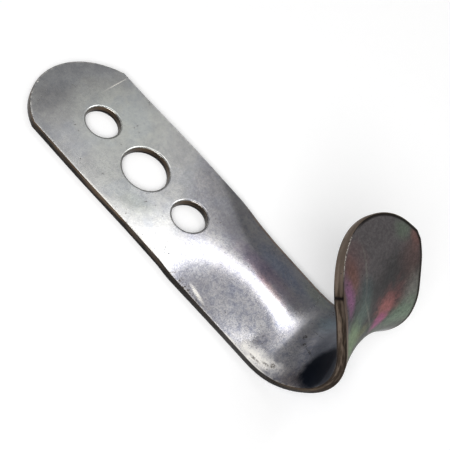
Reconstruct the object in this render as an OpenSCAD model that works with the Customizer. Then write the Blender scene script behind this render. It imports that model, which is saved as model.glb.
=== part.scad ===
// Flat strip rope hook: a punched steel strip, pressed into a crown along its
// lower body and bent round into a spoon shaped tongue, all in one piece.
// Back face of the strip lies on z = 0, x runs across the strip, and y runs
// along it towards the rounded fixing end. The origin is the centre hole axis.

/* [Strip] */
// Width of the strip
strip_width = 32; // [28:1:38]
// Thickness of the strip
strip_thickness = 2.3; // [1.5:0.1:3]
// Amount the fixing end's arc radius is larger than half the strip width
end_arc_extra = 1.3; // [0.4:0.1:4]

/* [Fixing holes] */
// Diameter of the two outer holes
outer_hole_diameter = 9.3; // [6:0.1:11]
// Diameter of the centre hole
centre_hole_diameter = 12.6; // [8:0.1:14]
// Distance between neighbouring hole centres
hole_pitch = 16.3; // [15:0.1:20]
// Distance from the upper hole centre to the top of the fixing end
end_margin = 19.5; // [14:0.1:26]

/* [Body] */
// Distance from the centre hole down to the start of the bend
body_drop = 52.4; // [46:0.2:64]
// Flat length left between the lower hole and the start of the crown
crown_gap = 2.2; // [1:0.2:6]
// Height of the crown where the bend starts
body_crown = 2.3; // [0.4:0.1:3.5]

/* [Bend] */
// Inside radius of the bend, at the edges of the strip
bend_radius = 16.3; // [12:0.1:22]
// Angle the strip turns through
bend_angle = 125; // [95:1:135]
// Height of the crown at its deepest, part way round the bend
bend_crown = 4.3; // [2:0.1:5]

/* [Tongue] */
// Straight length between the bend and the curled tip
tongue_straight = 8.5; // [4:0.5:18]
// Radius of the curl at the tip
curl_radius = 28; // [20:0.5:60]
// Length of the curled tip, along its middle
curl_length = 17.5; // [14:0.1:20]
// Height of the crown at the tip
tip_crown = 0.5; // [0:0.1:2]
// Amount the tip's arc radius is larger than half the strip width
tip_arc_extra = 0.4; // [0.2:0.2:4]

/* [Hidden] */
half_width = strip_width / 2;
hole_facets = 96;
// rows along the crowned body, the bend and the tongue, and columns across
body_rows = 18;
bend_rows = 34;
tongue_rows = 20;
columns = 24;

// stations along the strip, measured from the row where the sheet starts
crown_start = hole_pitch + outer_hole_diameter / 2 + crown_gap;
sheet_start = crown_start - crown_gap / 2;
overlap = crown_gap / 4;
s_crown = crown_start - sheet_start;
s_flat = 0.8 * s_crown;
s_bend = body_drop - sheet_start;
s_straight = s_bend + bend_radius * bend_angle * PI / 180;
s_curl = s_straight + tongue_straight;
s_tip = s_curl + curl_length;
s_deep = s_bend + 0.4 * (s_straight - s_bend);
tip_arc = half_width + tip_arc_extra;
// the tip's rows fan out from here to the cut arc
s_fan = s_tip - 1.35 * half_width;

// arc of the fixing end, and the height of its top
end_arc = half_width + end_arc_extra;
end_top = hole_pitch + end_margin;

function ease(x) = let (c = min(max(x, 0), 1)) c * c * (3 - 2 * c);

// direction the strip runs in, as an angle turned away from straight down
function heading(s) =
    s < s_bend ? 0 :
    s < s_straight ? (s - s_bend) / bend_radius * 180 / PI :
    s < s_curl ? bend_angle :
    bend_angle + (s - s_curl) / curl_radius * 180 / PI;

// unit vectors in the middle plane: along the strip, and out of its rope side
function along(a) = [-cos(a), sin(a)];
function inward(a) = [sin(a), cos(a)];

bend_end = [-body_drop, strip_thickness + bend_radius] - bend_radius * inward(bend_angle);
straight_end = bend_end + tongue_straight * along(bend_angle);

// the strip's edge on the rope side, seen from the side
function edge_line(s) =
    s < s_bend ? [-sheet_start - s, strip_thickness] :
    s < s_straight ? [-body_drop, strip_thickness + bend_radius] - bend_radius * inward(heading(s)) :
    s < s_curl ? bend_end + (s - s_straight) * along(bend_angle) :
    straight_end + curl_radius * (inward(bend_angle) - inward(heading(s)));

// height of the crown above the edges
function crown(s) =
    s < s_bend ? body_crown * ease((s - s_crown) / (s_bend - s_crown)) :
    s < s_deep ? body_crown + (bend_crown - body_crown) * ease((s - s_bend) / (s_deep - s_bend)) :
    bend_crown + (tip_crown - bend_crown) * ease((s - s_deep) / (s_tip - s_deep));

// the crown draws the edges in, so that the strip keeps its width along the arc
function half_span(s) = half_width / (1 + 2 / 3 * pow(crown(s) / half_width, 2));

// rope side of the sheet: s along the strip, u from -1 to 1 across it
function face(s, u) =
    let (e = edge_line(s), n = inward(heading(s)), r = crown(s) * (1 - u * u))
    [half_span(s) * u, e[0] + n[0] * r, e[1] + n[1] * r];

function unit(v) = v / norm(v);
function face_normal(s, u) =
    unit(cross(face(s + 0.01, u) - face(s - 0.01, u), face(s, u + 0.001) - face(s, u - 0.001)));

// the arc cut at the tip, and the rows that lead up to it
function tip_line(u) = s_tip - tip_arc + sqrt(tip_arc * tip_arc - pow(u * half_width, 2));
function row_station(i) =
    i == 0 ? 0 :
    i <= body_rows ? s_flat + (s_bend - s_flat) * (i - 1) / (body_rows - 1) :
    i <= body_rows + bend_rows ? s_bend + (s_straight - s_bend) * (i - body_rows) / bend_rows :
    s_straight + (s_tip - s_straight) * (i - body_rows - bend_rows) / tongue_rows;
function station(i, u) =
    let (s = row_station(i))
    s <= s_fan ? s : s_fan + (s - s_fan) * (tip_line(u) - s_fan) / (s_tip - s_fan);

module fixing_plate() {
    difference() {
        linear_extrude(height = strip_thickness)
            intersection() {
                translate([-half_width, -sheet_start - overlap])
                    square([strip_width, end_top + sheet_start + overlap]);
                union() {
                    translate([0, end_top - end_arc])
                        circle(r = end_arc, $fn = 180);
                    translate([-end_arc, -sheet_start - overlap - 1])
                        square([2 * end_arc, end_top - end_arc + sheet_start + overlap + 1]);
                }
            }
        for (hole = [[-hole_pitch, outer_hole_diameter], [0, centre_hole_diameter],
                     [hole_pitch, outer_hole_diameter]])
            translate([0, hole[0], -1])
                cylinder(d = hole[1], h = strip_thickness + 2, $fn = hole_facets);
    }
}

module formed_sheet() {
    rows = body_rows + bend_rows + tongue_rows;
    per_row = columns + 1;
    face_points = [for (i = [0:rows], j = [0:columns])
        let (u = 2 * j / columns - 1) face(station(i, u), u)];
    back_points = [for (i = [0:rows], j = [0:columns])
        let (u = 2 * j / columns - 1, s = station(i, u))
        face(s, u) - strip_thickness * face_normal(s, u)];
    n = len(face_points);
    polyhedron(
        points = concat(face_points, back_points),
        faces = concat(
            [for (i = [0:rows - 1], j = [0:columns - 1]) let (a = i * per_row + j)
                each [[a, a + 1, a + per_row + 1], [a, a + per_row + 1, a + per_row]]],
            [for (i = [0:rows - 1], j = [0:columns - 1]) let (a = n + i * per_row + j)
                each [[a, a + per_row + 1, a + 1], [a, a + per_row, a + per_row + 1]]],
            [for (i = [0:rows - 1]) let (a = i * per_row, b = a + columns)
                each [[a, a + per_row, a + n + per_row], [a, a + n + per_row, a + n],
                      [b, b + n + per_row, b + per_row], [b, b + n, b + n + per_row]]],
            [for (j = [0:columns - 1]) let (a = j, b = rows * per_row + j)
                each [[a, a + n, a + n + 1], [a, a + n + 1, a + 1],
                      [b, b + 1, b + n + 1], [b, b + n + 1, b + n]]]),
        convexity = 6);
}

module hook() {
    color([0.68, 0.70, 0.71])
        union() {
            fixing_plate();
            formed_sheet();
        }
}

hook();
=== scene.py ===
import math

import bmesh
import bpy
import numpy as np
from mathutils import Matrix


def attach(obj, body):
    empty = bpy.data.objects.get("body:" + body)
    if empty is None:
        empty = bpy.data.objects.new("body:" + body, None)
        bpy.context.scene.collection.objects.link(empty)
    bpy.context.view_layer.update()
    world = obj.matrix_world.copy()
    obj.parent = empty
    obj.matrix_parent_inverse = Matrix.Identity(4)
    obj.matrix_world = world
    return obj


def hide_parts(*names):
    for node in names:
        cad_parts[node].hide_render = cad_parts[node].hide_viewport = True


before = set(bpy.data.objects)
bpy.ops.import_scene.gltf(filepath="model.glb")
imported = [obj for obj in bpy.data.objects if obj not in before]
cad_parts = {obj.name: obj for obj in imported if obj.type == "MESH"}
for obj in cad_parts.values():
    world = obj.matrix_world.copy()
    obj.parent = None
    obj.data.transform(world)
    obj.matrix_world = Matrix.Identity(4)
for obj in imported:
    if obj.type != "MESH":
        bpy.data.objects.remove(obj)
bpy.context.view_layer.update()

# ---------------------------------------------------------------------------
# The view: a long lens close above the hook, which lies on its back with its
# fixing end to the upper left and its tongue towards the right.
# ---------------------------------------------------------------------------
camera_data = bpy.data.cameras.new("camera")
camera_data.sensor_width = 36.0
camera_data.lens = 104.94
camera_data.clip_start = 0.01
camera_data.clip_end = 20.0
camera = bpy.data.objects.new("camera", camera_data)
camera.location = (-0.200576, -0.065439, 0.254252)
camera.rotation_euler = [math.radians(a) for a in (33.135, -23.888, -46.688)]
bpy.context.scene.collection.objects.link(camera)
bpy.context.scene.camera = camera

# ---------------------------------------------------------------------------
# The hook: one strip of cold rolled steel, 32 mm wide and 2.3 mm thick. It is
# sheared and punched, then pressed to a crown and bent round into its tongue,
# and plated with zinc last of all.
# ---------------------------------------------------------------------------
# sizes in millimetres; both holes and both ends are given by their radii
strip_width, thickness = 32.0, 2.3
half_width = strip_width / 2
hole_pitch, outer_hole, centre_hole = 16.3, 9.3 / 2, 12.6 / 2
end_top, end_arc = hole_pitch + 19.5, half_width + 1.3
tip_arc = half_width + 0.4
body_drop = 52.4
bend_radius, bend_angle = 16.3, math.radians(125)
tongue_straight, curl_radius, curl_length = 8.5, 28.0, 17.5

# the crown's height down the body, at its highest in the bend and at the tip, where
# it starts below the centre hole, and how much later it does so at the left edge
body_crown, bend_crown, tip_crown = 2.3, 4.3, 0.5
crown_start, crown_slant = 13.0, 10.0
crest_dip = 0.25

# how far the edges are out of line: over to the right beside the holes, in below
# them, and out on the tongue and at its right corner
right_beside, left_beside = 0.62, 0.4
right_below, right_tongue, corner_out = 0.5, 0.45, 0.8

# how far the rims are rolled over, in from the cut and down from the rope side; the
# punch rolls a hole's rim more than the shear rolls the outline
shear_roll, punch_roll = (0.14, 0.14), (0.55, 0.30)
back_round = 0.25

# stations along the strip, measured down from the centre hole; the crown is at its
# highest a little before the middle of the bend
bend_ends = body_drop + bend_radius * bend_angle
curl_starts = bend_ends + tongue_straight
tip = curl_starts + curl_length
deepest = body_drop + 0.48 * (bend_ends - body_drop)


def ease(x):
    """0 below 0 and 1 above 1, and between them three x squared less two x cubed."""
    x = np.clip(x, 0, 1)
    return x * x * (3 - 2 * x)


def band(s, start, rise, end, fall):
    """Eased up from 0 at start to 1 over the rise, and down again to 0 from end over
    the fall."""
    return ease((s - start) / rise) * (1 - ease((s - end) / fall))


# how far the strip has turned at each station: nothing down the body, arc length
# over radius round the bend and the curl, and the bend's angle on the straight, all
# averaged over 9 mm, because steel never bends at a corner
pace, beyond, half_window = 0.05, 60.0, 90
stations = np.arange(-beyond, tip + beyond, pace)
turned = np.select(
    [stations < body_drop, stations < bend_ends, stations < curl_starts],
    [0 * stations, (stations - body_drop) / bend_radius, 0 * stations + bend_angle],
    bend_angle + (stations - curl_starts) / curl_radius)
window = np.hanning(2 * half_window + 1)
turned = np.convolve(np.pad(turned, half_window, mode="edge"), window / window.sum(), "valid")

# the middle line of the rope side: the sums of the turn's cosines and sines
line_y = beyond - pace * (np.cumsum(np.cos(turned)) - np.cos(turned))
line_z = thickness + pace * (np.cumsum(np.sin(turned)) - np.sin(turned))


def crown(x, s):
    """Height of the crown above the strip's edges. It starts along a slanted line,
    later on the left than on the right, rises at once and evens out by the bend: one
    less the square of what is left to go, mixed with a little of the eased rise. From
    3 mm into the bend it is eased up to its highest, and from there down to the tip.
    Where the bend starts it dips a little, because the middle of the strip turns into
    the bend later than its edges do."""
    starts = crown_start - crown_slant * x / half_width
    run = (s - starts + np.sqrt((s - starts) ** 2 + 4)) / 2
    gone = np.clip(run / (body_drop - starts), 0, 1)
    on_body = body_crown * (0.83 * (1 - (1 - gone) ** 2) + 0.17 * ease(gone))
    climb = (s - body_drop - 3) / (deepest - body_drop - 3)
    into_bend = body_crown + (bend_crown - body_crown) * ease(climb)
    to_tip = bend_crown + (tip_crown - bend_crown) * ease((s - deepest) / (tip - deepest))
    dip = crest_dip * band(s, 49, 8, 58, 12)
    return np.select([s < body_drop, s < deepest], [on_body, into_bend], to_tip) - dip


def rope_face(x, s):
    """Rope side of the formed strip, from the flat blank's x and s. The crown is a
    parabola across the strip, a little fuller on the right along the body, raised
    along the line's inward normal, and it draws the edges in so that the arc across
    keeps the strip's width. The press has pushed both edges over to the right beside
    the holes, and drawn the right one in below them. The fixing end is cut slightly
    askew, and the tongue's right edge and corner stand proud."""
    u = x / half_width
    askew = (0.2 + 0.055 * x) * ease((-s - 20.5) / 10)
    corner = corner_out * np.exp(-((x - 15.5) ** 2 + (s - 102.5) ** 2) / 8)
    cut = s + askew + corner
    y, z, a = (np.interp(cut, stations, line) for line in (line_y, line_z, turned))
    body = 1 - ease((s - 45) / 30)
    high = crown(x, s)
    rise = high * (1 - u * u) * (1 + body * (0.2 * u - 0.18 * u * u))
    drawn = 1 / (1 + 2 / 3 * (high / half_width) ** 2)
    right_over = (right_beside * band(s, -20, 26, 20, 9) - right_below * ease((s - 24) / 12) * body
                  + right_tongue * band(s, 82, 6, 97, 5))
    left_over = left_beside * band(s, -10, 22, 20, 6)
    over = right_over * ease(u) + left_over * ease(-u) + 0.4 * corner
    return np.stack([x * drawn + over, y + rise * np.sin(a), z + rise * np.cos(a)], axis=-1)


def formed(blank):
    """Bends the flat blank's points, x across, s along and w up from the back, into
    the hook: the rope side less the rest of the thickness along its normal, which
    is the cross product of the differences along and across."""
    x, s, w = blank.T
    aside = 0.02
    run = rope_face(x, s + aside) - rope_face(x, s - aside)
    across = rope_face(x + aside, s) - rope_face(x - aside, s)
    normal = np.cross(run, across)
    normal /= np.linalg.norm(normal, axis=1, keepdims=True)
    return rope_face(x, s) - (thickness - w)[:, None] * normal


# the flat blank is laid out as rows of quads, margin in from every cut edge
margin = 1.0
flank = half_width - margin
half_row = 24
columns = np.linspace(-flank, flank, 2 * half_row + 1)
grids = []


def keep_grid(x, s, w, ring=False):
    """Keeps a grid of blank points for the mesh; a ring joins its last column to
    its first."""
    x, s, w = np.broadcast_arrays(x, s, w)
    if ring:
        x, s, w = (np.concatenate([g, g[:, :1]], axis=1) for g in (x, s, w))
    grids.append(np.stack([x, s, w], axis=-1))


def skin(x, s, ring=False):
    """Keeps the same grid on the rope side and on the back."""
    keep_grid(x, s, thickness, ring)
    keep_grid(x, s, 0.0, ring)


# fixing end, from its arc down to the upper hole's block
block_half = outer_hole + margin + 0.95
top_line = -hole_pitch - block_half
share = np.linspace(1, 0, 17)[:, None]
arc_s = -end_top + end_arc - np.sqrt((end_arc - margin) ** 2 - columns ** 2)
end_s = top_line + (arc_s - top_line) * share
skin(columns[None, :], end_s)

# a block round each hole: rings from the hole's circle out to the block's sides
blocks = ((-hole_pitch, outer_hole, top_line, -hole_pitch / 2),
          (0.0, centre_hole, -hole_pitch / 2, hole_pitch / 2),
          (hole_pitch, outer_hole, hole_pitch / 2, hole_pitch + block_half))
rim_loops, side_rows = [], [end_s[:, 0]]
for centre, radius, above, below in blocks:
    rows = np.linspace(above, below, half_row + 1)
    side_rows.append(rows[1:])
    box_x = np.concatenate([columns[half_row:], np.full(half_row - 1, flank), columns[::-1],
                            np.full(half_row - 1, -flank), columns[:half_row]])
    box_s = np.concatenate([np.full(half_row + 1, below), rows[1:-1][::-1],
                            np.full(2 * half_row + 1, above), rows[1:-1],
                            np.full(half_row, below)])
    angle = np.linspace(0, 2 * np.pi, len(box_x) + 1)[:-1]
    rim_x = (radius + margin) * np.sin(angle)
    rim_s = centre + (radius + margin) * np.cos(angle)
    outwards = np.linspace(0, 1, 9)[:, None]
    ring_x = rim_x * (1 - outwards) + box_x * outwards
    ring_s = rim_s * (1 - outwards) + box_s * outwards
    skin(ring_x, ring_s, ring=True)
    rim_loops.append((ring_x[0], ring_s[0], -np.sin(angle), -np.cos(angle)))

# body, bend and tongue, whose last rows fan out to the arc of the tip
low_line = hole_pitch + block_half
fan_line = tip - 1.35 * half_width
body_rows = np.concatenate([np.linspace(low_line, body_drop, 60),
                            np.linspace(body_drop, bend_ends, 91)[1:],
                            np.linspace(bend_ends, fan_line, 12)[1:],
                            np.linspace(fan_line, tip, 44)[1:]])
tip_s = tip - tip_arc + np.sqrt((tip_arc - margin) ** 2 - columns ** 2)
fanned = np.clip((body_rows - fan_line) / (tip - fan_line), 0, 1)[:, None]
body_s = np.where(fanned > 0, fan_line + (tip_s - fan_line) * fanned, body_rows[:, None])
skin(columns[None, :], body_s)
side_rows.append(body_s[1:, 0])
side_s = np.concatenate(side_rows)


def mitre(a, b):
    """The sum of two unit vectors over one plus their product."""
    return (a + b) / (1 + a @ b)


# the outline, margin in: down the right side, round the tip, up the left side and
# round the fixing end, each point with its way out; corners take the mitre
tip_out = np.stack([columns, tip_s - tip + tip_arc]) / (tip_arc - margin)
end_out = np.stack([columns, arc_s + end_top - end_arc]) / (end_arc - margin)
right, left = np.array([1.0, 0.0]), np.array([-1.0, 0.0])
loop_x = np.concatenate([np.full(len(side_s), flank), columns[::-1][1:],
                         np.full(len(side_s) - 1, -flank), columns[1:-1]])
loop_s = np.concatenate([side_s, tip_s[::-1][1:], side_s[::-1][1:], arc_s[1:-1]])
loop_out = np.concatenate([
    [mitre(right, end_out[:, -1])], np.tile(right, (len(side_s) - 2, 1)),
    [mitre(right, tip_out[:, -1])], tip_out.T[::-1][1:-1],
    [mitre(left, tip_out[:, 0])], np.tile(left, (len(side_s) - 2, 1)),
    [mitre(left, end_out[:, 0])], end_out.T[1:-1]])

# a cut edge in section, from the rope side over its rolled rim, down the sheared
# wall and round to the back: how far in from the cut, and how high above the back
over_rim = np.linspace(0, np.pi / 2, 10)
round_back = np.linspace(0, np.pi / 2, 6)
wall_heights = [1.9, 1.7, 1.45, 1.2, 0.9, 0.65]
back_rows = [0.62, 0.74, 0.87, margin]
outline = (loop_x, loop_s, loop_out[:, 0], loop_out[:, 1])
for (x, s, out_x, out_s), (roll_in, roll_down) in (
        [(outline, shear_roll)] + [(rim_loop, punch_roll) for rim_loop in rim_loops]):
    cut_in = np.concatenate([
        np.linspace(margin, roll_in, 5)[:4], roll_in * (1 - np.sin(over_rim)),
        np.zeros(len(wall_heights)), back_round * (1 - np.cos(round_back)), back_rows])
    cut_up = np.concatenate([
        np.full(4, thickness), thickness - roll_down * (1 - np.cos(over_rim)),
        wall_heights, back_round * (1 - np.sin(round_back)), np.zeros(len(back_rows))])
    reach = (margin - cut_in)[:, None]
    keep_grid(x + reach * out_x, s + reach * out_s, cut_up[:, None], ring=True)

# one mesh from all the grids, with shared points merged
points, quads, count = [], [], 0
for grid in grids:
    n, m = grid.shape[:2]
    index = count + np.arange(n * m).reshape(n, m)
    quads.append(np.stack([index[:-1, :-1], index[:-1, 1:], index[1:, 1:], index[1:, :-1]],
                          axis=-1).reshape(-1, 4))
    points.append(grid.reshape(-1, 3))
    count += n * m
points, quads = np.concatenate(points), np.concatenate(quads)
_, first, same = np.unique(np.round(points, 5), axis=0, return_index=True, return_inverse=True)
blank, quads = points[first], same.reshape(-1)[quads]

to_metres = 0.001
mesh = bpy.data.meshes.new("rope_hook")
mesh.from_pydata((formed(blank) * to_metres).tolist(), [], quads.tolist())
shell = bmesh.new()
shell.from_mesh(mesh)
bmesh.ops.recalc_face_normals(shell, faces=shell.faces)
if shell.calc_volume(signed=True) < 0:
    bmesh.ops.reverse_faces(shell, faces=shell.faces)
shell.to_mesh(mesh)
shell.free()
mesh.polygons.foreach_set("use_smooth", np.ones(len(mesh.polygons), bool))

# the finish follows the blank: where each point lay on it, and how near the cut edge,
# which is the least of its distances in from the sides, both arcs and the holes; away
# leaves an arc out of the count except at its own end
blank_x, blank_s, _ = blank.T
away = 1e3
near_cut = np.minimum.reduce([
    half_width - abs(blank_x),
    tip_arc - np.hypot(blank_x, blank_s - tip + tip_arc) + away * (blank_s < tip - 20),
    end_arc - np.hypot(blank_x, blank_s + end_top - end_arc) + away * (blank_s > -15)]
    + [np.hypot(blank_x, blank_s - centre) - radius for centre, radius, _, _ in blocks])
where_on_blank = mesh.attributes.new("blank", "FLOAT_VECTOR", "POINT")
where_on_blank.data.foreach_set("vector", blank.astype(np.float32).ravel())
how_near_cut = mesh.attributes.new("near_cut", "FLOAT", "POINT")
how_near_cut.data.foreach_set("value", near_cut.astype(np.float32))

rope_hook = bpy.data.objects.new("rope_hook", mesh)
bpy.context.scene.collection.objects.link(rope_hook)

steel = bpy.data.materials.new("zinc_plated_steel")
steel.use_nodes = True
nodes, wire = steel.node_tree.nodes, steel.node_tree.links.new


def put(kind, inputs, **settings):
    """A new node with its settings, each input set to a value or wired to another
    node's output."""
    node = nodes.new(kind)
    for name, value in settings.items():
        setattr(node, name, value)
    for name, value in inputs.items():
        if isinstance(value, bpy.types.NodeSocket):
            wire(value, node.inputs[name])
        else:
            node.inputs[name].default_value = value
    return node


def work(operation, a, b=0.0, c=0.0):
    """One Math node's result."""
    return put("ShaderNodeMath", {0: a, 1: b, 2: c}, operation=operation).outputs[0]


def product(first, *others):
    """All the values multiplied together."""
    for other in others:
        first = work("MULTIPLY", first, other)
    return first


def added(much, value, base):
    """The value times much, on top of the base."""
    return work("MULTIPLY_ADD", value, much, base)


def centred(noise):
    """The noise, moved so that it runs as far below 0 as above."""
    return work("SUBTRACT", noise, 0.5)


def fade(value, start, end, low=0.0, high=1.0):
    """Runs smoothly from low to high as the value goes from start to end."""
    return put("ShaderNodeMapRange", {"Value": value, "From Min": start, "From Max": end,
                                      "To Min": low, "To Max": high},
               interpolation_type="SMOOTHSTEP").outputs["Result"]


def clouds(place, per_mm, detail=3.0, rough=0.5, shift=0.0):
    """Noise between 0 and 1, in features of about one over per_mm millimetres."""
    moved = put("ShaderNodeVectorMath", {0: place, 1: (shift, 0.7 * shift, -shift)},
                operation="ADD").outputs[0]
    return put("ShaderNodeTexNoise", {"Vector": moved, "Scale": per_mm, "Detail": detail,
                                      "Roughness": rough}).outputs["Fac"]


def blend(share, a, b, how="MIX"):
    """Mixes, or multiplies, two colours by a share. For colours, a Mix node takes its
    inputs 0, 6 and 7, and gives its output 2."""
    node = nodes.new("ShaderNodeMix")
    node.data_type, node.blend_type = "RGBA", how
    for socket, value in ((node.inputs[0], share), (node.inputs[6], a), (node.inputs[7], b)):
        if isinstance(value, bpy.types.NodeSocket):
            wire(value, socket)
        elif socket.type == "RGBA":
            socket.default_value = (*value, 1)
        else:
            socket.default_value = value
    return node.outputs[2]


def tinted(colour, share, tint):
    """The colour, multiplied by the tint where the share is 1."""
    return blend(share, colour, blend(1.0, colour, tint, "MULTIPLY"))


def patch(x, s, across, along, ragged=0.0, turn=0.0):
    """A soft oval on the blank, 1 in its middle and 0 outside: the distance from x
    and s, turned, over the two half sizes, with clouds added to its rim."""
    held = put("ShaderNodeMapping", {"Vector": flat_lay, "Location": (x, s, 0),
                                     "Rotation": (0, 0, math.radians(turn)),
                                     "Scale": (across, along, 1)},
               vector_type="TEXTURE").outputs[0]
    far = put("ShaderNodeVectorMath", {0: held}, operation="LENGTH").outputs["Value"]
    if ragged:
        far = added(ragged, centred(rag), far)
    return fade(far, 1.15, 0.15)


# where on the strip: in the hook's own millimetres, and on the flat blank
own_place = put("ShaderNodeVectorMath", {0: put("ShaderNodeTexCoord", {}).outputs["Object"],
                                         "Scale": 1 / to_metres},
                operation="SCALE").outputs[0]
lay = put("ShaderNodeAttribute", {}, attribute_name="blank").outputs["Vector"]
lay_x, lay_s, lay_w = put("ShaderNodeSeparateXYZ", {0: lay}).outputs
flat_lay = put("ShaderNodeCombineXYZ", {0: lay_x, 1: lay_s}).outputs[0]
rim_gap = put("ShaderNodeAttribute", {}, attribute_name="near_cut").outputs["Fac"]

# noises, from the widest to the finest
mottle = clouds(own_place, 0.28, 5.0, 0.62, 7.0)
rag = clouds(own_place, 0.55, 4.0, 0.6, 11.0)
speckle = clouds(own_place, 1.1, 3.0, 0.7, 19.0)
grain = clouds(own_place, 2.4, 2.0, 0.6, 5.0)

# the rope side, the cut walls with the back edge that rounds them off, all that is
# pressed below the slanted start of the crown, and the outside of the tongue
rope_side = fade(lay_w, 0.9, 1.5)
# the back edge's rounding counts as wall, so that the walls' black painted contact shadow covers
# it
back_edge = product(fade(lay_w, 0.85, 0.5), fade(lay_s, 70.0, 90.0, 0.45, 0.15))
wall = fade(work("SUBTRACT", rim_gap, back_edge), 0.13, 0.05)
below_slant = added(crown_slant / half_width, lay_x, lay_s)
pressed = fade(added(8.0, centred(mottle), below_slant), 12.0, 18.0)
tongue_back = product(fade(lay_s, 66.0, 78.0), work("SUBTRACT", 1.0, rope_side))

# plated skin: cool grey zinc, mottled, with a wide blue cast in places and a fine
# speckle and grain that are stronger where the sheet is pressed
zinc = blend(fade(mottle, 0.34, 0.66), (0.565, 0.565, 0.56), (0.64, 0.64, 0.625))
zinc = tinted(zinc, fade(clouds(own_place, 0.13, 2.0, 0.5, 29.0), 0.45, 0.62),
              (0.95, 0.965, 1.0))
zinc = tinted(zinc, product(pressed, fade(lay_x, -3.0, 4.0, 0.9, 0.6)), (0.985, 0.96, 1.01))
zinc = tinted(zinc, product(fade(speckle, 0.60, 0.34), fade(pressed, 0.0, 1.0, 0.45, 1.0)),
              (0.80, 0.81, 0.86))
zinc = tinted(zinc, product(fade(grain, 0.38, 0.64), fade(pressed, 0.0, 1.0, 0.3, 0.8)),
              (0.84, 0.83, 0.84))

# dark blue veins, blotches and specks, most of them on the left flank
vein_noise = centred(clouds(own_place, 1.5, 3.0, 0.7, 61.0))
veins = fade(work("ABSOLUTE", vein_noise), 0.045, 0.0)
zinc = tinted(zinc, product(veins, pressed, fade(lay_x, 1.0, -5.0, 0.1, 0.9)),
              (0.50, 0.53, 0.60))
blotches = fade(clouds(own_place, 0.42, 5.0, 0.7, 83.0), 0.52, 0.40)
zinc = tinted(zinc, product(blotches, fade(lay_s, 28.0, 36.0), fade(lay_x, 1.0, -5.0, 0.25, 1.0)),
              (0.74, 0.76, 0.82))
zinc = tinted(zinc, product(fade(grain, 0.42, 0.30), fade(lay_s, 24.0, 34.0, 0.0, 0.8)),
              (0.58, 0.58, 0.62))

# tints, as x, s, across, along, ragged and turn of the patch, and the tint; the grey,
# lighter and darker ones are painted light and shade, the coloured ones tints of the film
for oval, tint in (
        # painted shade: two darker grey patches on the plate, by its top and left of the holes
        ((-6.8, -28.6, 8.5, 4.2, 0.5), (0.80, 0.80, 0.82)),
        ((-9.4, 5.6, 3.2, 6.0, 0.4, -32), (0.80, 0.82, 0.80)),
        # painted light on the plate, greener on the right and bluer at the upper left, and painted
        # shade at the left
        ((4.0, -14.0, 17.0, 17.0, 0.6), (1.19, 1.225, 1.165)),
        ((-9.5, -17.0, 6.5, 8.0, 0.6), (1.07, 1.07, 1.09)),
        ((-10.0, 1.0, 7.0, 13.0, 0.6), (0.92, 0.935, 0.915)),
        # below the lower hole, painted shade on the right and a painted highlight on the left
        ((7.5, 24.5, 5.0, 6.0, 0.6), (0.77, 0.77, 0.81)),
        ((-4.5, 25.0, 9.5, 7.0, 0.6), (1.25, 1.25, 1.20)),
        # the left flank, brighter: painted light
        ((-9.5, 46.0, 9.0, 17.0, 0.6), (1.28, 1.29, 1.26)),
        # right of the crest, purple, then blue and a little green, and teal in the bend
        ((5.2, 39.0, 4.0, 13.0, 0.8), (0.90, 0.76, 0.92)),
        ((10.0, 41.0, 4.0, 12.0, 0.8), (0.82, 0.90, 1.06)),
        ((13.2, 52.5, 3.2, 7.0, 0.8), (1.02, 1.10, 0.96)),
        ((7.5, 61.5, 6.0, 5.0, 0.9), (0.77, 1.04, 1.09))):
    zinc = tinted(zinc, product(patch(*oval), 0.9), tint)

# a faint orange fringe along the crest, and brown along the right rim
zinc = tinted(zinc, product(patch(2.6, 42.0, 1.4, 9.0, 0.8, 6), 0.8), (1.05, 0.86, 0.80))
right_rim = product(fade(rim_gap, 1.3, 0.3), fade(lay_x, 9.0, 12.0), fade(lay_s, 20.0, 30.0))
zinc = tinted(zinc, product(right_rim, 0.9), (1.10, 0.80, 0.58))

# a painted highlight along the left rim, in a broken line, least between the crown's start
# and the bend
left_rim_glint = product(fade(rim_gap, 0.75, 0.3), fade(lay_x, -12.0, -14.0), rope_side)
left_rim_glint = product(left_rim_glint,
                   fade(added(0.15, fade(lay_s, 42.0, 46.0), rag), 0.36, 0.56, 0.1, 0.9),
                   fade(lay_s, -12.0, -4.0, 0.3, 1.0), fade(lay_s, 60.0, 56.0),
                   work("MAXIMUM", fade(lay_s, 24.0, 20.0, 0.1, 1.0), fade(lay_s, 42.0, 46.0)))

# other rubbed places: a broad worn patch by the left edge where the bend starts, a
# streak further up, the straight mark of a stop across the fixing end, a nick by that
# end's rim, and pale specks along all the rims that are partly a painted rim highlight
worn = product(patch(-14.0, 53.6, 3.1, 8.8, 1.2, -7), rope_side)
wear_and_glints = patch(-14.25, 32.9, 0.7, 3.6, 0.3, 12)
for bright in (worn, patch(11.6, -23.3, 5.4, 0.24), patch(-7.0, -33.9, 0.5, 0.3),
               product(fade(rim_gap, 0.55, 0.2), fade(speckle, 0.40, 0.55, 0.0, 0.55)),
               left_rim_glint):
    wear_and_glints = work("MAXIMUM", wear_and_glints, bright)
# the rubbed wear and the painted rim highlights, laid on together in pale cream
wear_and_glints = product(wear_and_glints, rope_side, fade(grain, 0.30, 0.50, 0.5, 1.0))
zinc = blend(wear_and_glints, zinc, (0.96, 0.93, 0.87))

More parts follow.
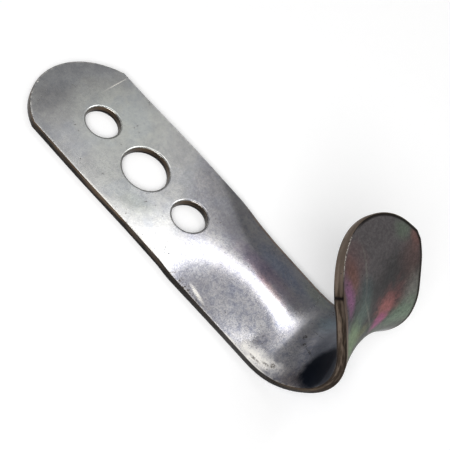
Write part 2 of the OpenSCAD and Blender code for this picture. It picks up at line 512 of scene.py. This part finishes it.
# brown dirt along the left rim below the crown's start, then specks of it in the worn
# patch, and dark scratches in the bend, where the rope has dragged over it
dirt = product(fade(rim_gap, 2.6, 0.3), fade(lay_s, 22.0, 26.0), fade(lay_s, 42.0, 30.0),
               fade(speckle, 0.46, 0.56), fade(lay_x, -8.0, -12.0))
for oval in ((-14.5, 53.4, 0.4, 2.4, 2.0), (-13.6, 56.4, 0.5, 1.8, 2.2),
             (-12.9, 58.0, 0.8, 1.0, 2.4), (-5.3, 63.6, 0.4, 5.0, 1.8, 34),
             (-3.4, 60.2, 1.3, 1.1, 2.4), (-1.0, 58.6, 0.9, 0.7, 2.2),
             (1.2, 61.9, 0.24, 4.0, 1.0, 22)):
    dirt = work("MAXIMUM", dirt, patch(*oval))
dirt = product(dirt, fade(grain, 0.42, 0.54, 0.1, 1.0), rope_side)
zinc = blend(product(dirt, 0.95), zinc, (0.07, 0.055, 0.045))

# the hollow of the bend is dull, and painted dark there as painted shade, brownish at its
# left rim, with a blue-black painted reflection of something dark beside that
hollow_dull_and_shade = fade(added(6.0, centred(rag), added(0.5, lay_x, lay_s)), 54.0, 67.0)
hollow_dull_and_shade = product(hollow_dull_and_shade, fade(lay_s, 92.0, 78.0), rope_side)
zinc = blend(product(hollow_dull_and_shade, 0.8), zinc, (0.10, 0.112, 0.138))
zinc = tinted(zinc, product(patch(-14.8, 66.0, 5.0, 7.0, 0.9), rope_side), (0.74, 0.68, 0.64))
dark_reflection_core = fade(patch(-10.6, 72.4, 7.4, 9.6, 0.3, -30), 0.08, 0.62)
dark_reflection_halo = product(patch(-13.0, 79.0, 8.0, 14.0, 0.5), 0.75)
painted_dark_reflection = product(work("MAXIMUM", dark_reflection_core, dark_reflection_halo), fade(lay_s, 94.0, 76.0), rope_side)
zinc = blend(painted_dark_reflection, zinc, (0.004, 0.007, 0.015))

# the outside of the tongue keeps the thickest film: dull brown grey, darkened further as
# painted shade, painted lighter at the tip, and greener by the bend
film_and_shade = blend(fade(clouds(own_place, 0.16, 3.0, 0.5, 41.0), 0.40, 0.62),
             (0.100, 0.090, 0.092), (0.082, 0.090, 0.090))
film_and_shade = blend(fade(lay_s, 94.0, 108.0), film_and_shade, (0.205, 0.195, 0.20))
film_and_shade = blend(fade(lay_s, 90.0, 80.0, 0.0, 0.85), film_and_shade, (0.155, 0.175, 0.150))

# its colours, as x, s, across, along, ragged and turn of the patch, share and shade
for oval, much, shade in (
        # brown and rose down both sides, with teal and grey green inside them
        ((-9.0, 107.0, 6.5, 8.0, 0.9), 0.7, (0.27, 0.17, 0.17)),
        ((12.5, 98.0, 6.0, 9.0, 0.9), 0.6, (0.22, 0.14, 0.13)),
        ((-5.2, 99.3, 3.4, 7.0, 0.8, 12), 0.6, (0.10, 0.15, 0.155)),
        ((-7.0, 94.0, 6.0, 5.5, 0.9), 0.7, (0.17, 0.25, 0.215)),
        # by the left rim, from the top: rust, magenta and blue grey
        ((-9.9, 105.6, 2.8, 5.0, 0.9), 0.6, (0.31, 0.16, 0.125)),
        ((-12.4, 101.5, 2.4, 6.0, 0.8), 0.8, (0.42, 0.19, 0.37)),
        ((-15.0, 92.0, 2.6, 6.0, 0.7), 0.6, (0.24, 0.25, 0.33)),
        # by the right rim, grey low down, and green and rose at the corner
        ((14.0, 87.0, 5.5, 9.0, 0.9), 0.8, (0.36, 0.37, 0.335)),
        ((11.0, 106.5, 4.2, 3.0, 0.8, -30), 0.7, (0.24, 0.31, 0.24)),
        ((14.2, 103.0, 1.8, 4.0, 0.8), 0.7, (0.34, 0.19, 0.17)),
        # darkest in the middle, and green across the foot
        ((4.5, 98.0, 8.5, 7.5, 0.9), 0.6, (0.06, 0.056, 0.058)),
        ((-12.5, 90.0, 6.5, 6.0, 0.9), 0.8, (0.34, 0.48, 0.28)),
        ((12.0, 83.5, 7.5, 5.5, 0.9), 0.8, (0.24, 0.34, 0.25)),
        # a rose flame with a brown fringe and a magenta foot, and straw left of it
        ((5.6, 90.2, 7.0, 6.5, 1.2, 20), 0.7, (0.26, 0.125, 0.125)),
        ((4.6, 88.8, 4.6, 4.4, 1.1, 15), 0.85, (0.52, 0.215, 0.205)),
        ((2.6, 85.6, 4.2, 3.2, 1.0, 15), 0.8, (0.48, 0.15, 0.32)),
        ((-5.8, 88.0, 5.0, 2.2, 0.9, -14), 0.5, (0.30, 0.34, 0.18)),
        # a painted highlight down its ridge: a faint pale line, in two lengths
        ((-3.2, 91.2, 0.5, 8.5, 0.4, 23), 0.3, (0.42, 0.42, 0.36)),
        ((-4.6, 104.0, 0.6, 9.0, 0.4, -10), 0.35, (0.34, 0.34, 0.31))):
    film_and_shade = blend(product(patch(*oval), much), film_and_shade, shade)
# painted shade: darker below the tip, towards the bend
film_and_shade = tinted(film_and_shade, fade(lay_s, 104.0, 96.0, 0.0, 0.9), (0.74, 0.74, 0.74))
film_and_shade = blend(fade(speckle, 0.36, 0.62, 0.0, 0.8),
             blend(1.0, film_and_shade, (1.15, 1.12, 1.11), "MULTIPLY"),
             blend(1.0, film_and_shade, (0.82, 0.81, 0.81), "MULTIPLY"))
film_and_shade = tinted(film_and_shade, fade(grain, 0.36, 0.64), (0.86, 0.85, 0.85))

# the tongue's rims: brown on the left, a dark line all round that is widest on the
# right, and a painted highlight on the upper left, a bright broken line
film_and_shade = blend(product(fade(rim_gap, 1.9, 0.9, 0.0, 0.7), fade(lay_x, -13.6, -14.6)), film_and_shade,
             (0.20, 0.125, 0.085))
film_and_shade = blend(fade(rim_gap, 0.6, 0.35, 0.0, 0.75), film_and_shade, (0.035, 0.028, 0.023))
film_and_shade = blend(product(fade(rim_gap, 1.0, 0.6, 0.0, 0.85), fade(lay_x, -4.0, 0.0)), film_and_shade,
             (0.024, 0.020, 0.018))
tongue_rim_glint = product(fade(rim_gap, 0.62, 0.40), fade(grain, 0.42, 0.52), fade(lay_x, -4.5, -6.5),
                    fade(lay_s, 105.5, 109.5), fade(lay_s, 116.0, 113.5))
film_and_shade = blend(tongue_rim_glint, film_and_shade, (0.85, 0.80, 0.74))
skin_colour = blend(tongue_back, zinc, film_and_shade)

# cut walls: dark brown and streaked along the strip, tan towards the rope side and
# almost black down the pressed body
on_tongue = fade(lay_s, 66.0, 84.0)
stroke = put("ShaderNodeMapping", {"Vector": lay, "Scale": (0.16, 0.16, 1.7)}).outputs[0]
streaks = clouds(stroke, 1.0, 4.0, 0.6, 17.0)
sheared = blend(fade(streaks, 0.38, 0.62), (0.007, 0.005, 0.003), (0.066, 0.043, 0.026))
sheared = blend(product(fade(lay_w, 1.35, 1.95, 0.0, 0.8), fade(streaks, 0.40, 0.58, 0.2, 1.0)),
                sheared, (0.115, 0.074, 0.042))
sheared = blend(product(fade(lay_s, 16.0, 26.0), fade(lay_s, 68.0, 58.0, 0.0, 0.85)), sheared,
                (0.005, 0.003, 0.002))

# lighter round the tongue, where its walls face more light, and paler still at its tip,
# both painted light; black towards the back as a painted contact shadow; dark at the
# tongue's rope side, and a dark seam across
sheared = blend(on_tongue, sheared,
                blend(fade(streaks, 0.40, 0.60), (0.048, 0.034, 0.024), (0.17, 0.130, 0.100)))
sheared = blend(product(fade(lay_w, 1.0, 0.68, 0.0, 0.95), fade(lay_s, 66.0, 84.0, 1.0, 0.3)),
                sheared, (0.003, 0.002, 0.002))
sheared = blend(product(fade(lay_w, 1.75, 2.0, 0.0, 0.85), on_tongue), sheared,
                (0.016, 0.012, 0.010))
sheared = blend(fade(lay_s, 103.6, 108.0, 0.0, 0.6), sheared, (0.24, 0.19, 0.155))
sheared = blend(patch(-16.0, 103.2, 6.0, 0.6, 0.3), sheared, (0.006, 0.004, 0.004))
colour = blend(wall, skin_colour, sheared)

# small pits, in groups
cells = put("ShaderNodeTexVoronoi", {"Vector": own_place, "Scale": 0.9})
pits = product(fade(cells.outputs["Distance"], 0.20, 0.10),
               fade(clouds(own_place, 0.2, 3.0, 0.6, 53.0), 0.52, 0.62))
colour = blend(product(pits, 0.8), colour, (0.10, 0.085, 0.075))

# glossy down the body and duller from the bend on, and duller still in the bend's hollow
# and where it is rubbed, filmed, sheared or pitted
roughness = fade(lay_s, 49.0, 58.0, 0.14, 0.34)
for mark, duller in ((centred(mottle), 0.06), (centred(speckle), 0.05), (hollow_dull_and_shade, 0.15),
                     (wear_and_glints, 0.22), (tongue_back, 0.28), (wall, 0.22), (pits, 0.25)):
    roughness = added(duller, mark, roughness)

# rubbed zinc is scratched so fine that it shows white rather than mirrors; the painted rim
# highlight is made matt the same way
matt = work("MAXIMUM", product(worn, 0.85), product(left_rim_glint, 0.55))
metallic = work("SUBTRACT", fade(wall, 0.0, 1.0, 1.0, 0.9), matt)

# the skin is uneven by a few hundredths of a millimetre, streaked walls more so
height = added(0.2, grain, added(0.35, speckle, product(mottle, 0.8)))
height = added(1.5, product(streaks, wall), height)
height = added(-1.0, pits, height)
bump = put("ShaderNodeBump", {"Strength": 0.22, "Distance": 0.00003, "Height": height})

shader = nodes["Principled BSDF"]
wire(colour, shader.inputs["Base Color"])
wire(roughness, shader.inputs["Roughness"])
wire(metallic, shader.inputs["Metallic"])
wire(bump.outputs["Normal"], shader.inputs["Normal"])
mesh.materials.append(steel)

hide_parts("hook")
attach(rope_hook, "root")

# ---------------------------------------------------------------------------
# The floor: a plain table painted white. To the camera and in reflections it is
# a little brighter than its paint, so it shows white and keeps the shadow.
# ---------------------------------------------------------------------------
bpy.ops.mesh.primitive_plane_add(size=6.0, location=(0, 0, 0))
floor = bpy.context.object
floor.name = "floor"
floor_paint = bpy.data.materials.new("white_table")
floor_paint.use_nodes = True
shader = floor_paint.node_tree.nodes["Principled BSDF"]
shader.inputs["Base Color"].default_value = (0.93, 0.93, 0.93, 1)
shader.inputs["Roughness"].default_value = 0.9
shader.inputs["Emission Color"].default_value = (1, 1, 1, 1)
seen = floor_paint.node_tree.nodes.new("ShaderNodeLightPath")
brighter, lift = 0.16, None
for ray in ("Is Camera Ray", "Is Glossy Ray", "Is Transmission Ray"):
    ray_lift = floor_paint.node_tree.nodes.new("ShaderNodeMath")
    ray_lift.operation = "MULTIPLY_ADD"
    floor_paint.node_tree.links.new(seen.outputs[ray], ray_lift.inputs[0])
    ray_lift.inputs[1].default_value, ray_lift.inputs[2].default_value = brighter, 0.0
    if lift:
        floor_paint.node_tree.links.new(lift, ray_lift.inputs[2])
    lift = ray_lift.outputs[0]
floor_paint.node_tree.links.new(lift, shader.inputs["Emission Strength"])
floor.data.materials.append(floor_paint)

# ---------------------------------------------------------------------------
# The studio: a dim grey room with flat soft lamps. Two bright and two weak ones
# hang high beyond the hook, a small one nearer overhead and a large one behind
# the viewer, and a dark cloth is hung round the far side.
# ---------------------------------------------------------------------------
scene = bpy.context.scene
scene.view_settings.view_transform = "Standard"
room = bpy.data.worlds.new("studio_room")
room.use_nodes = True
room.node_tree.nodes["Background"].inputs["Color"].default_value = (1, 1, 1, 1)
room.node_tree.nodes["Background"].inputs["Strength"].default_value = 0.30
scene.world = room


def soft_lamp(name, place, aim, wide, long, glow, turn=0):
    """A flat lamp at place, wide across and long the other way, that faces aim and
    looks as bright as glow; its watts are glow times pi times its area. One that
    hangs straight above its aim takes the turn, in degrees."""
    lamp = bpy.data.lights.new(name, "AREA")
    lamp.shape = "RECTANGLE"
    lamp.size, lamp.size_y = wide, long
    lamp.energy = glow * math.pi * wide * long
    holder = bpy.data.objects.new(name, lamp)
    holder.location = place
    dx, dy, dz = np.array(aim, float) - np.array(place, float)
    holder.rotation_euler = (math.atan2(math.hypot(dx, dy), -dz), 0,
                             math.atan2(dy, dx) - math.pi / 2 if dx or dy else math.radians(turn))
    holder.visible_camera = False
    scene.collection.objects.link(holder)


for name, x, y, hung, wide, long, glow, turn in (
        ("bright_lamp", 0.374, 0.119, 0.60, 0.26, 0.066, 2.3, -36),
        ("second_lamp", 0.384, -0.030, 0.60, 0.125, 0.21, 3.0, -33),
        ("side_lamp", 0.80, 0.238, 0.80, 0.43, 0.12, 0.33, 0),
        ("wide_lamp", 0.42, 0.092, 0.80, 0.56, 0.43, 0.35, 0),
        ("top_lamp", 0.20, -0.030, 0.90, 0.09, 0.09, 3.5, 0)):
    soft_lamp(name, (x, y, hung), (x, y, 0), wide, long, glow, turn)
soft_lamp("viewer_lamp", (-1.0, -0.3, 1.1), (0, -0.02, 0), 0.9, 0.9, 8.0)

# the cloth is one row of quads round an arc, from the floor up to its hem line
folds, cloth_radius = 64, 1.2
around = np.linspace(math.radians(-100), math.radians(110), folds)
hem = np.interp(np.degrees(around), (-100, -80, 45, 75, 110), (0.6, 1.25, 1.25, 0.45, 0.3))
cloth_x = np.stack([cloth_radius * np.cos(around)] * 2, axis=1)
cloth_y = np.stack([cloth_radius * np.sin(around)] * 2, axis=1)
cloth_z = np.stack([0 * around, hem], axis=1)
index = np.arange(2 * folds).reshape(folds, 2)
cloth_mesh = bpy.data.meshes.new("dark_cloth")
cloth_mesh.from_pydata(
    np.stack([cloth_x, cloth_y, cloth_z], axis=-1).reshape(-1, 3).tolist(), [],
    np.stack([index[:-1, 0], index[1:, 0], index[1:, 1], index[:-1, 1]], axis=-1).tolist())
cloth = bpy.data.objects.new("dark_cloth", cloth_mesh)
dark_cloth = bpy.data.materials.new("black_cloth")
dark_cloth.use_nodes = True
shader = dark_cloth.node_tree.nodes["Principled BSDF"]
shader.inputs["Base Color"].default_value = (0.28, 0.28, 0.28, 1)
shader.inputs["Roughness"].default_value = 1.0
cloth_mesh.materials.append(dark_cloth)
cloth.visible_camera = False
scene.collection.objects.link(cloth)
